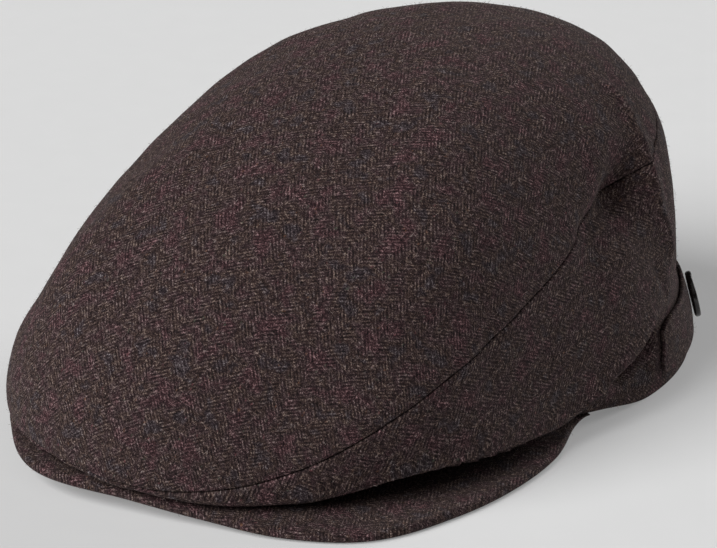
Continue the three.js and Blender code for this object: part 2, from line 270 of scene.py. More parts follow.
class CrownShape:
    """The crown's outer face as a function of angle and travel"""

    def __init__(self, sizes):
        self.sizes = sizes
        # The opening's centre, where all angles are taken from
        self.centre_y = CAD_BOX[0][1] + sizes.crown_front + sizes.peak_lip

    def hem_radius(self, theta):
        sizes = self.sizes
        return outline_radius(
            theta, sizes.opening_half_width, sizes.opening_front, sizes.opening_back
        )

    def hem_height(self, theta):
        return column_value(MERIDIAN, "rim", theta) * self.sizes.crown_height

    def smooth(self, theta, travel):
        """Point at an angle and travel: 0 is the top, 1 the bulge and 2 the hem"""
        theta, travel = np.broadcast_arrays(
            np.asarray(theta, float), np.asarray(travel, float)
        )
        sizes = self.sizes
        height = sizes.crown_height
        share = {name: column_value(MERIDIAN, name, theta) for name in MERIDIAN_COLUMNS}
        outline = outline_radius(
            theta, sizes.crown_half_width, sizes.crown_front, sizes.crown_back
        )
        way = heading(theta)
        swell = sizes.swell * np.exp(
            -(((theta - sizes.swell_angle) / sizes.swell_spread) ** 2)
        )
        bulge = way * (outline * share["reach"] + swell)[..., None]
        bulge_height = share["bulge"] * height
        top = np.array([0, -sizes.crown_top_ahead])
        hem = share["rim"] * height
        upper = np.clip(travel, 0, 1)
        lower = np.clip(travel - 1, 0, 1)
        out = bezier(0, share["dome"], 1, 1, upper)
        knee = bulge_height + share["cheek"] * (height - bulge_height)
        upper_height = bezier(height, height, knee, bulge_height, upper)
        edge = way * self.hem_radius(theta)[..., None]
        inward = bezier(0, 0, share["tuck"], 1, lower)
        sagged = bulge_height - share["drop"] * height
        standing = hem + share["stand"] * height
        lower_height = bezier(bulge_height, sagged, standing, hem, lower)
        above = travel <= 1
        plan = np.where(
            above[..., None],
            top + (bulge - top) * out[..., None],
            bulge + (edge - bulge) * inward[..., None],
        )
        point = np.empty(theta.shape + (3,))
        point[..., 0] = plan[..., 0]
        point[..., 1] = plan[..., 1] + self.centre_y
        point[..., 2] = np.where(above, upper_height, lower_height)
        return point

    def normal(self, surface, theta, travel):
        """Outward normal of a surface given as a function of angle and travel"""
        at = np.maximum(travel, NORMAL_STEP)
        turn = NORMAL_STEP * 180
        around = surface(theta + turn, at) - surface(theta - turn, at)
        above = surface(theta, np.maximum(at - NORMAL_STEP, NORMAL_STEP / 2))
        below = surface(theta, np.minimum(at + NORMAL_STEP, 2))
        return unit(np.cross(below - above, around))

    def dent_depth(self, theta, travel):
        depth = 0
        for dent in DENTS:
            at = dict(zip(DENT_COLUMNS, dent))
            across = (theta - at["theta"]) / at["spread_theta"]
            along = (travel - at["travel"]) / at["spread_travel"]
            depth = depth + at["depth"] * np.exp(-(across**2) - along**2)
        return depth * self.sizes.dent_depth

    def surface(self, theta, travel):
        theta, travel = np.broadcast_arrays(
            np.asarray(theta, float), np.asarray(travel, float)
        )
        depth = np.where(travel == 0, 0, self.dent_depth(theta, travel))
        normal = self.normal(self.smooth, theta, travel)
        return self.smooth(theta, travel) - normal * depth[..., None]

    def skin(self, theta, travel):
        """Points of the outer face, and its normals there"""
        return self.surface(theta, travel), self.normal(self.surface, theta, travel)

    def seam_travel(self, theta, side):
        """Edge of the top panel (side -1) or of a side panel (side 1)"""
        travel = column_value(MERIDIAN, "seam", theta)
        below = self.surface(theta, travel + NORMAL_STEP)
        above = self.surface(theta, travel - NORMAL_STEP)
        stretch = np.linalg.norm(below - above, axis=-1)
        return travel + side * self.sizes.seam_gap * NORMAL_STEP / stretch

    def travel_at_height(self, theta, height):
        """Travel at which the lower crown passes a height, found by halving"""
        low = np.ones_like(theta)
        high = np.full_like(theta, 2)
        for _ in range(HEIGHT_PASSES):
            middle = (low + high) / 2
            above = self.surface(theta, middle)[..., 2] > height
            low = np.where(above, middle, low)
            high = np.where(above, high, middle)
        return low


# Cloth relief


def lumps(points, size, seed):
    """Smooth noise between -1 and 1 at points, with lumps of one size"""
    shift = Vector((seed * 17.3, seed * 5.1, seed * 9.7))
    flat = points.reshape(-1, 3) / size
    values = [noise.noise(Vector(point) + shift) for point in flat.tolist()]
    return np.array(values).reshape(points.shape[:-1])


def fold_height(shape, points, fold):
    """Height of one fold over the cloth, fading out at its ends"""
    at = dict(zip(FOLD_COLUMNS, fold))
    share = np.linspace(0, 1, FOLD_SAMPLES)
    start, end = at["theta_a"], at["theta_b"]
    turn = (end - start + 180) % 360 - 180
    theta = start + turn * share
    travel = at["travel_a"] + (at["travel_b"] - at["travel_a"]) * share
    line = shape.surface(theta, travel)
    flat = points.reshape(-1, 3)
    apart = (
        (flat**2).sum(1)[:, None] - 2 * flat @ line.T + (line**2).sum(1)[None, :]
    )
    nearest = apart.argmin(1)
    distance = np.sqrt(np.maximum(apart.min(1), 0)) / (at["width"] * MM)
    taper = smooth_step(np.minimum(share, 1 - share) / FOLD_TAPER)[nearest]
    height = at["height"] * MM * taper * np.exp(-(distance**2))
    return height.reshape(points.shape[:-1])


def relief(shape, points, theta):
    """Height of the folds and of the cloth's own unevenness, calm under the half belt"""
    sizes = shape.sizes
    height = sizes.unevenness * lumps(points, BROAD_LUMPS * MM, 1)
    height += FINE_SHARE * sizes.unevenness * lumps(points, FINE_LUMPS * MM, 2)
    for fold in FOLDS:
        height += fold_height(shape, points, fold)
    # It fades over 4 degrees before the belt's end, and over 5 mm above its top
    angle = np.abs((theta + 180) % 360 - 180)
    beside = smooth_step((sizes.strap_end_angle - 1 - angle) / 4)
    belt_top = sizes.strap_above_hem + sizes.strap_height
    above = smooth_step((points[..., 2] - belt_top - 1 * MM) / (5 * MM))
    return height * np.maximum(beside, above)


def pucker(points, distance, sizes):
    """Short ripples where the stitching draws a seam in"""
    near = np.exp(-((distance / (RIPPLE_REACH * MM)) ** 2))
    return sizes.pucker * near * lumps(points, RIPPLE_LENGTH * MM, 3)


def rolled(distance, radius):
    """How far a rounded edge has dropped, at a distance from it"""
    left = np.clip(radius - distance, 0, radius)
    return radius - np.sqrt(radius**2 - left**2)


# Meshes


def run_lengths(points, axis, from_end):
    """Distance of every grid point from the first or last line of the grid"""
    step = np.linalg.norm(np.diff(points, axis=axis), axis=-1)
    total = np.cumsum(np.flip(step, axis) if from_end else step, axis=axis)
    total = np.concatenate([np.zeros_like(np.take(total, [0], axis)), total], axis)
    return np.flip(total, axis) if from_end else total


def grid_faces(rows, columns, wraps):
    """Quads of a grid of points, row by row, as (rows - 1, columns, 4) indices"""
    column = np.arange(columns if wraps else columns - 1)
    following = (column + 1) % columns
    row = np.arange(rows - 1)[:, None] * columns
    below = row + columns
    return np.stack([row + column, below + column, below + following, row + following], -1)


def flipped(faces):
    return faces[..., [0, 3, 2, 1]]


def shell_faces(rows, columns, wraps):
    """Quads of a sheet with thickness: an outer grid, an inner grid and the border"""
    outside = grid_faces(rows, columns, wraps)
    inner = rows * columns

    def border(edge):
        return np.concatenate([edge, edge[:, ::-1] + inner], -1)

    faces = [outside, flipped(outside) + inner, border(outside[0][:, [0, 3]])]
    faces.append(flipped(border(outside[-1][:, [1, 2]])))
    if not wraps:
        faces.append(flipped(border(outside[:, 0][:, [0, 1]])))
        faces.append(border(outside[:, -1][:, [3, 2]]))
    return np.concatenate([face.reshape(-1, 4) for face in faces])


def mesh_object(name, points, faces, uvs):
    """Object from points, faces and one grain coordinate for each point, in metres"""
    mesh = bpy.data.meshes.new(name)
    mesh.from_pydata(points.tolist(), [], faces.tolist())
    layer = mesh.uv_layers.new(name="grain")
    corners = np.empty(len(mesh.loops), np.int32)
    mesh.loops.foreach_get("vertex_index", corners)
    layer.data.foreach_set("uv", uvs[corners].astype(np.float32).ravel())
    return finished(name, mesh)


def finished(name, mesh):
    """Welds a mesh, turns its faces outwards and puts it in the scene"""
    work = bmesh.new()
    work.from_mesh(mesh)
    bmesh.ops.remove_doubles(work, verts=work.verts, dist=1e-6)
    bmesh.ops.recalc_face_normals(work, faces=work.faces)
    for face in work.faces:
        face.smooth = True
    work.to_mesh(mesh)
    work.free()
    piece = bpy.data.objects.new(name, mesh)
    bpy.context.scene.collection.objects.link(piece)
    return piece


def shell_object(name, outer, inner, wraps, grain):
    rows, columns = outer.shape[:2]
    points = np.concatenate([outer.reshape(-1, 3), inner.reshape(-1, 3)])
    uvs = np.concatenate([grain.reshape(-1, 2)] * 2)
    return mesh_object(name, points, shell_faces(rows, columns, wraps), uvs)


def dress(piece, material, slot, *nodes):
    """Gives a finished piece its material and its body, and hides the imported parts it stands for;
    slot is not used
    """
    piece.data.materials.clear()
    piece.data.materials.append(material)
    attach(piece, "root")
    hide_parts(*nodes)


def fibre_shape(group, start):
    """One fibre as nodes: a bent strand that starts just below the cloth"""
    half_length = math_node(group, "MULTIPLY", start["Length"], 0.5)
    sunk = math_node(group, "MULTIPLY", start["Length"], -FIBRE_ROOT)
    bend = math_node(group, "MULTIPLY", start["Length"], start["Lean"])
    root, middle, tip = (
        output_of(group, "ShaderNodeCombineXYZ", place)
        for place in ({"Z": sunk}, {"Z": half_length}, {"X": bend, "Z": half_length})
    )
    line = {"Resolution": 3, "Start": root, "Middle": middle, "End": tip}
    ring = {"Resolution": 3, "Radius": start["Radius"]}
    strand = {
        "Curve": output_of(group, "GeometryNodeCurveQuadraticBezier", line),
        "Profile Curve": output_of(group, "GeometryNodeCurvePrimitiveCircle", ring),
        "Fill Caps": True,
    }
    return output_of(group, "GeometryNodeCurveToMesh", strand)


def fibre_nodes(name, wanted, wool):
    """Node group that scatters fibres over a mesh, and its inputs' identifiers by name"""
    group = bpy.data.node_groups.new(name, "GeometryNodeTree")
    sockets = group.interface
    sockets.new_socket("Geometry", in_out="INPUT", socket_type="NodeSocketGeometry")
    identifiers = {}
    for label in wanted:
        kind = "NodeSocketInt" if label == "Seed" else "NodeSocketFloat"
        socket = sockets.new_socket(label, in_out="INPUT", socket_type=kind)
        identifiers[label] = socket.identifier
    sockets.new_socket("Geometry", in_out="OUTPUT", socket_type="NodeSocketGeometry")
    start = group.nodes.new("NodeGroupInput").outputs
    place = output_of(group, "GeometryNodeInputPosition")
    rise = output_of(group, "ShaderNodeSeparateXYZ", {0: place}, 2)
    # No fibre grows so low that it could reach through the floor
    spots = {
        "Mesh": start["Geometry"],
        "Selection": math_node(group, "GREATER_THAN", rise, start["Length"]),
        "Density": start["Density"],
        "Seed": start["Seed"],
    }
    scattered = add_node(group, "GeometryNodeDistributePointsOnFaces", spots).outputs
    tilts = {
        "Min": (-FIBRE_TILT, -FIBRE_TILT, -math.pi),
        "Max": (FIBRE_TILT, FIBRE_TILT, math.pi),
        "Seed": start["Seed"],
    }
    tilt = output_of(group, "FunctionNodeRandomValue", tilts, data_type="FLOAT_VECTOR")
    lengths = {2: FIBRE_SHORTEST, 3: 1.0, "Seed": start["Seed"]}
    turn = {0: scattered["Rotation"], 1: tilt}
    fibres = {
        "Points": scattered["Points"],
        "Instance": fibre_shape(group, start),
        "Rotation": output_of(group, "FunctionNodeRotateRotation", turn, rotation_space="LOCAL"),
        "Scale": output_of(group, "FunctionNodeRandomValue", lengths, 1, data_type="FLOAT"),
    }
    placed = output_of(group, "GeometryNodeInstanceOnPoints", fibres)
    real = output_of(group, "GeometryNodeRealizeInstances", {"Geometry": placed})
    clothed = output_of(group, "GeometryNodeSetMaterial", {"Geometry": real, "Material": wool})
    end = group.nodes.new("NodeGroupOutput")
    group.links.new(clothed, end.inputs[0])
    return group, identifiers


def stray_fibres(piece, name, count, seed, look):
    """Short wool ends that stand out of a cloth piece, as one piece of their own"""
    wanted = {
        "Density": count / sum(face.area for face in piece.data.polygons),
        "Seed": seed,
        "Length": look.fibre_length,
        "Radius": look.fibre_radius,
        "Lean": look.fibre_lean,
    }
    wool = material_of("stray_wool", wool_end, look)
    group, identifiers = fibre_nodes(name, wanted, wool)
    carrier = bpy.data.objects.new(name, piece.data)
    bpy.context.scene.collection.objects.link(carrier)
    modifier = carrier.modifiers.new("fibres", "NODES")
    modifier.node_group = group
    for label, value in wanted.items():
        modifier[identifiers[label]] = value
    graph = bpy.context.evaluated_depsgraph_get()
    mesh = bpy.data.meshes.new_from_object(carrier.evaluated_get(graph))
    carrier.modifiers.remove(modifier)
    carrier.data = mesh
    bpy.data.node_groups.remove(group)
    for face in mesh.polygons:
        face.use_smooth = True
    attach(carrier, "root")


def clothe(context, piece, node, fibres, seed):
    """Finishes a cloth piece in tweed, with stray fibres over it"""
    look = context.scene.cap_look
    dress(piece, material_of("woollen_tweed", tweed, look), "tweed", node)
    stray_fibres(piece, node + "_fibres", fibres, seed, look)


def clustered(count, edges_from, edges_to, total):
    """Shares from 0 to 1, with close lines near the ends that have a rolled edge"""
    # Distances from the edge in millimetres
    close = np.array([0, 0.15, 0.4, 0.7, 1.05, 1.5, 2.1, 3.0]) * MM / total
    start = close if edges_from else np.array([0.0])
    end = 1 - close[::-1] if edges_to else np.array([1.0])
    middle = np.linspace(start[-1], end[0], count)[1:-1]
    return np.concatenate([start, middle, end])


def flat_pattern(shape, angles, travel_of, shares, wraps, straight):
    """Lays a panel out flat, as its cloth was cut: coordinates in metres on a grid.

    straight holds two grid places, (row, column) shares, that the grain runs between.
    """
    theta = np.broadcast_to(angles, (len(shares), len(angles)))
    points = shape.surface(theta, travel_of(theta, shares[:, None]))
    rows, columns = theta.shape
    faces = grid_faces(rows, columns, wraps).reshape(-1, 4)
    mesh = bpy.data.meshes.new("pattern")
    flat = points.reshape(-1, 3)
    # The first line of a panel that wraps is a single point
    kept = np.arange(len(flat))
    if wraps:
        kept[:columns] = 0
    quads = [list(dict.fromkeys(face)) for face in kept[faces].tolist()]
    mesh.from_pydata(flat.tolist(), [], quads)
    mesh.uv_layers.new(name="grain")
    piece = bpy.data.objects.new("pattern", mesh)
    bpy.context.scene.collection.objects.link(piece)
    bpy.ops.object.select_all(action="DESELECT")
    bpy.context.view_layer.objects.active = piece
    piece.select_set(True)
    bpy.ops.object.mode_set(mode="EDIT")
    bpy.ops.mesh.select_all(action="SELECT")
    bpy.ops.uv.unwrap(method="MINIMUM_STRETCH", margin=0)
    bpy.ops.object.mode_set(mode="OBJECT")
    corner = np.empty(len(mesh.loops), np.int32)
    mesh.loops.foreach_get("vertex_index", corner)
    spot = np.empty(len(mesh.loops) * 2, np.float32)
    mesh.uv_layers["grain"].data.foreach_get("uv", spot)
    laid = np.zeros((len(flat), 2))
    laid[corner] = spot.reshape(-1, 2)
    laid = laid[kept].reshape(rows, columns, 2)
    bpy.data.objects.remove(piece)
    bpy.data.meshes.remove(mesh)
    # The pattern gets the cloth's real size, and the grain runs up it
    real = np.linalg.norm(np.diff(points, axis=0), axis=-1).sum()
    drawn = np.linalg.norm(np.diff(laid, axis=0), axis=-1).sum()
    (row_a, column_a), (row_b, column_b) = straight
    first = laid[round(row_a * (rows - 1)), round(column_a * (columns - 1))]
    last = laid[round(row_b * (rows - 1)), round(column_b * (columns - 1))]
    along = last - first
    along = along / np.linalg.norm(along)
    across = np.array([along[1], -along[0]])
    centred = (laid - laid.reshape(-1, 2).mean(0)) * real / drawn
    return np.stack([centred @ across, centred @ along], -1)


def between(coarse, coarse_shares, coarse_angles, shares, angles):
    """Values of a coarse grid at the places of a finer one"""
    planes = []
    for plane in np.moveaxis(coarse, -1, 0):
        lines = np.array([np.interp(shares, coarse_shares, line) for line in plane.T])
        planes.append([np.interp(angles, coarse_angles, line) for line in lines.T])
    return np.stack(planes, -1)


def top_panel(shape):
    sizes = shape.sizes

    def edge(theta, share):
        return share * shape.seam_travel(theta, -1)

    angles = np.linspace(-180, 180, 400, endpoint=False)
    shares = clustered(112, False, True, PANEL_RUN)
    theta = np.broadcast_to(angles, (len(shares), len(angles)))
    travel = edge(theta, shares[:, None])
    points, normals = shape.skin(theta, travel)
    normals[0] = (0, 0, 1)
    distance = run_lengths(points, 0, True)
    height = relief(shape, points, theta) + pucker(points, distance, sizes)
    drop = rolled(distance, sizes.seam_roll)
    outer = points + normals * (height - drop)[..., None]
    inner = points + normals * (height - sizes.cloth)[..., None]
    coarse_shares = np.linspace(0, 1, 26)
    coarse_angles = np.linspace(-180, 180, 121)
    laid = flat_pattern(
        shape, coarse_angles[:-1], edge, coarse_shares, True, ((1, 0.5), (1, 0))
    )
    closed = np.concatenate([laid, laid[:, :1]], 1)
    grain = between(closed, coarse_shares, coarse_angles, shares, angles)
    return shell_object("crown_top_cloth", outer, inner, True, grain)


def side_panel(shape, side):
    """Side panel from the top seam round the fold to the hem; side is 1 on the left"""
    sizes = shape.sizes

    def travel_of(theta, share):
        start = shape.seam_travel(theta, 1)
        return start + share * (2 - start)

    # Angles from each centre seam, close together where the cloth rolls in
    near_seam = np.array([0, 0.08, 0.2, 0.4, 0.7, 1.1, 1.7, 2.6, 4.0])
    angles = np.concatenate([near_seam, np.linspace(5, 175, 218), 180 - near_seam[::-1]])
    shares = clustered(96, True, True, PANEL_RUN)
    theta = side * np.broadcast_to(angles, (len(shares), len(angles)))
    travel = travel_of(theta, shares[:, None])
    points, normals = shape.skin(theta, travel)
    from_seam = run_lengths(points, 0, False)
    from_hem = run_lengths(points, 0, True)
    from_centre = np.abs(points[..., 0])
    joined = np.minimum(from_seam, from_centre)
    # The relief fades at the hem and at the centre seams, so that the edges stay true
    calm = smooth_step(from_hem / (8 * MM)) * smooth_step(from_centre / (3 * MM))
    height = calm * (relief(shape, points, theta) + pucker(points, joined, sizes))
    half = sizes.cloth / 2
    hem_roll = rolled(from_hem, half)
    drop = np.maximum(rolled(joined, sizes.seam_roll), hem_roll)
    outer = points + normals * (height - drop)[..., None]
    inner = points + normals * (height - sizes.cloth + hem_roll)[..., None]
    for face in (outer, inner):
        face[:, 0, 0] = side * sizes.seam_gap / 2
        face[:, -1, 0] = side * sizes.seam_gap / 2
    coarse_shares = np.linspace(0, 1, 25)
    coarse_angles = np.linspace(0, 180, 61)
    straight = ((0.15, 0.15), (0.15, 0.9))
    laid = flat_pattern(
        shape, side * coarse_angles, travel_of, coarse_shares, False, straight
    )
    grain = between(laid, coarse_shares, coarse_angles, shares, angles)
    name = "side_cloth_left" if side > 0 else "side_cloth_right"
    return shell_object(name, outer, inner, False, grain)


def peak_board(shape):
    """Stiff peak covered in cloth, with a half round edge"""
    sizes = shape.sizes
    angles = np.linspace(-sizes.peak_wing_angle, sizes.peak_wing_angle, 280)
    full = smooth_step((sizes.peak_wing_angle - np.abs(angles)) / PEAK_THINNING)
    half = sizes.peak_thickness / 2 * (PEAK_THINNEST + (1 - PEAK_THINNEST) * full)
    root = shape.hem_radius(angles) - sizes.cloth
    projection = column_value(PEAK, "projection", angles)
    reach = sizes.crown_front + sizes.peak_lip - sizes.opening_front
    edge = shape.hem_radius(angles) + projection * reach
    length = edge - root
    root_height = shape.hem_height(angles) - sizes.seam_gap - half
    edge_height = sizes.peak_arch * column_value(PEAK, "edge", angles)
    edge_height = root_height + (edge_height - root_height) * full
    # A flat part, then a quarter circle up to the middle of the edge
    flat_rows = [(share, 0.0, 1.0) for share in np.linspace(0, 1, 30)]
    turns = np.radians(np.linspace(0, 90, 7)[1:])
    round_rows = [(1.0, math.sin(turn), math.cos(turn)) for turn in turns]
    faces = []
    for up in (1, -1):
        rows = []
        for share, forward, rise in flat_rows + round_rows:
            rounding = np.minimum(half, length / 2)
            radius = root + share * (length - rounding) + forward * rounding
            along = (radius - root) / length
            hollow = sizes.peak_hollow * projection * 4 * along * (1 - along)
            height = root_height + (edge_height - root_height) * along - hollow
            plan = heading(angles) * radius[:, None]
            lift = height + up * half * rise
            rows.append(np.column_stack([plan[:, 0], plan[:, 1] + shape.centre_y, lift]))
        faces.append(np.array(rows))
    outer, inner = faces
    ripple = COVER_RIPPLE * MM * lumps(outer, COVER_RIPPLE_LENGTH * MM, 5)
    # The ripples fade over the six rows beside the root and beside the edge
    inside = np.minimum(1, np.arange(len(outer)) / 6)[:, None]
    outer[..., 2] += ripple * inside * inside[::-1]
    # The cover is drawn straight over the edge, so the grain goes on at its full scale
    along = run_lengths(outer, 0, False)[..., None]
    grain = heading(angles) * (root[:, None] + along)
    return shell_object("peak_cloth", outer, inner, False, grain)


def half_belt(shape):
    """Cloth belt round the lower back, with rounded ends and edges"""
    sizes = shape.sizes
    first, last = sizes.strap_end_angle, 360 - sizes.strap_end_angle
    # Angles from each end, close together where it is rounded
    close = np.array([0, 0.12, 0.3, 0.55, 0.9, 1.4, 2.2, 3.2, 4.6, 6.0])
    angles = np.concatenate(
        [first + close, np.linspace(first + 8, last - 8, 130), last - close[::-1]]
    )
    from_end = np.minimum(angles - first, last - angles)
    left = np.clip(1 - from_end / sizes.strap_end_rounding, 0, 1)
    half_height = sizes.strap_height / 2 * (0.5 + 0.5 * np.sqrt(1 - left**2))
    middle = sizes.strap_above_hem + sizes.strap_height / 2
    share = 1 - 2 * clustered(20, True, True, sizes.strap_height)
    height = middle + share[:, None] * half_height
    theta = np.broadcast_to(angles, height.shape)
    travel = shape.travel_at_height(theta, height)
    points, normals = shape.skin(theta, travel)
    edge = np.minimum(
        np.minimum(run_lengths(points, 0, False), run_lengths(points, 0, True)),
        np.minimum(run_lengths(points, 1, False), run_lengths(points, 1, True)),
    )
    # The turned edge is a little thicker than the middle, inside its stitch line
    half = sizes.strap_thickness / 2
    drop = rolled(edge, half)
    from_stitch = (edge - STITCH_PLACE * MM) / (STITCH_WIDTH * MM)
    stitched = STITCH_DEPTH * MM * np.exp(-(from_stitch**2))
    outer_stand = sizes.strap_clearance + sizes.strap_thickness - drop - stitched
    inner_stand = sizes.strap_clearance + drop
    outer = points + normals * outer_stand[..., None]
    inner = points + normals * inner_stand[..., None]
    along = run_lengths(points, 1, False)
    grain = np.stack([along, np.broadcast_to(height, along.shape)], -1)
    return shell_object("back_strap_cloth", outer, inner, False, grain)


def button(shape, side):
    """Round button with a dished face inside a raised rim"""
    sizes = shape.sizes
    # Shares of the radius and the thickness, from the back round the rim to the face
    profile = np.array(
        [
            (0, 0), (0.86, 0), (0.93, 0.05), (0.98, 0.16), (1, 0.32), (1, 0.62),
            (0.985, 0.8), (0.95, 0.93), (0.9, 0.99), (0.85, 1), (0.8, 0.95),
            (0.75, 0.84), (0.7, 0.74), (0.64, 0.7), (0.5, 0.71), (0.3, 0.76), (0, 0.8),
        ]
    )
    turns = np.linspace(0, 2 * math.pi, 72, endpoint=False)
    theta = np.array([side * float(sizes.button_angle)])
    middle = sizes.strap_above_hem + sizes.strap_height / 2
    travel = shape.travel_at_height(theta, middle)
    stand = sizes.strap_clearance + sizes.strap_thickness + sizes.seam_gap
    spot, axis = (found[0] for found in shape.skin(theta, travel))
    place = spot + axis * stand
    across = unit(np.cross(axis, (0, 0, 1)))
    upward = np.cross(across, axis)
    ring = np.cos(turns)[:, None] * across + np.sin(turns)[:, None] * upward
    out = profile[:, 0] * sizes.button_radius
    up = profile[:, 1] * sizes.button_thickness
    points = place + out[:, None, None] * ring + up[:, None, None] * axis
    faces = flipped(grid_faces(*points.shape[:2], True))
    uvs = np.column_stack(
        [(out[:, None] * np.cos(turns)).ravel(), (out[:, None] * np.sin(turns)).ravel()]
    )
    name = "button_left" if side > 0 else "button_right"
    return mesh_object(name, points.reshape(-1, 3), faces.reshape(-1, 4), uvs)


# Materials


def linear(colour):
    """Linear colour from an sRGB hex value"""
    channels = [int(colour[index : index + 2], 16) / 255 for index in (1, 3, 5)]
    return [
        value / 12.92 if value <= 0.04045 else ((value + 0.055) / 1.055) ** 2.4
        for value in channels
    ] + [1.0]


def fill(tree, node, inputs):
    """Gives sockets, by name or number, a value or another node's output"""
    for key, value in dict(inputs).items():
        socket = node.inputs[key]
        if isinstance(value, bpy.types.NodeSocket):
            tree.links.new(value, socket)
        else:
            socket.default_value = value


def add_node(tree, kind, inputs=(), **settings):
    node = tree.nodes.new(kind)
    for name, value in settings.items():
        setattr(node, name, value)
    fill(tree, node, inputs)
    return node


def output_of(tree, kind, inputs=(), output=0, **settings):
    """Adds a node and gives one of its outputs"""
    return add_node(tree, kind, inputs, **settings).outputs[output]


def math_node(tree, operation, *values):
    return output_of(tree, "ShaderNodeMath", enumerate(values), operation=operation)


def vector_node(tree, operation, inputs):
    return output_of(tree, "ShaderNodeVectorMath", inputs, operation=operation)


def noise_node(tree, place, scale, detail=2, output="Fac", **inputs):
    """Soft noise at a place, with lumps of about 1 / scale"""
    given = {"Vector": place, "Scale": scale, "Detail": detail, **inputs}
    return output_of(tree, "ShaderNodeTexNoise", given, output)


def range_node(tree, value, start, end, low=0.0, high=1.0):
    """Stretches values between start and end over those between low and high"""
    given = {"Value": value, "From Min": start, "From Max": end, "To Min": low, "To Max": high}
    return output_of(tree, "ShaderNodeMapRange", given, "Result")


def colour_steps(tree, factor, stops, interpolation="LINEAR"):
    """Colour ramp over stops, a colour for each place"""
    ramp = add_node(tree, "ShaderNodeValToRGB", {"Fac": factor})
    ramp.color_ramp.interpolation = interpolation
    elements = ramp.color_ramp.elements
    while len(elements) < len(stops):
        elements.new(0.5)
    for element, (place, colour) in zip(elements, stops.items()):
        element.position = place
        element.color = colour[:]
    return ramp.outputs["Color"]


def mix_colour(tree, factor, first, second, blend="MIX"):
    inputs = {0: factor, 6: first, 7: second}
    return output_of(tree, "ShaderNodeMix", inputs, 2, data_type="RGBA", blend_type=blend)


def new_material(name):
    material = bpy.data.materials.new(name)
    material.use_nodes = True
    return material, material.node_tree, material.node_tree.nodes["Principled BSDF"]


def strands(tree, place, look):
    """Height from 0 to 1 of slanting strands that turn back at every wale"""
    split = add_node(tree, "ShaderNodeSeparateXYZ", {0: place}).outputs
    wale, pitch = look.wale / MM, look.pitch * math.sqrt(2) / MM
    zigzag = math_node(tree, "PINGPONG", split[0], wale)
    wale_number = math_node(tree, "FLOOR", math_node(tree, "DIVIDE", split[0], wale))
    # Each wale is shifted by half a strand, so the points of the zigzag don't meet
    broken = math_node(tree, "MULTIPLY", wale_number, 0.5)
    slant = math_node(tree, "DIVIDE", math_node(tree, "ADD", split[1], zigzag), pitch)
    phase = math_node(tree, "MULTIPLY", math_node(tree, "ADD", slant, broken), 2 * math.pi)
    return math_node(tree, "MULTIPLY_ADD", math_node(tree, "SINE", phase), 0.5, 0.5)


def yarn_tones(tree, place, strand):
    """Tone that changes slowly along a yarn and fast from one yarn to the next"""
    tones = []
    for stretch, offset in (((0.2, 0.9, 1), 3.0), ((0.9, 0.2, 1), 11.0)):
        stretched = {"Vector": place, "Scale": stretch, "Location": (offset, offset, 0)}
        tones.append(noise_node(tree, output_of(tree, "ShaderNodeMapping", stretched), 1.0))
    return mix_colour(tree, strand, tones[1], tones[0])


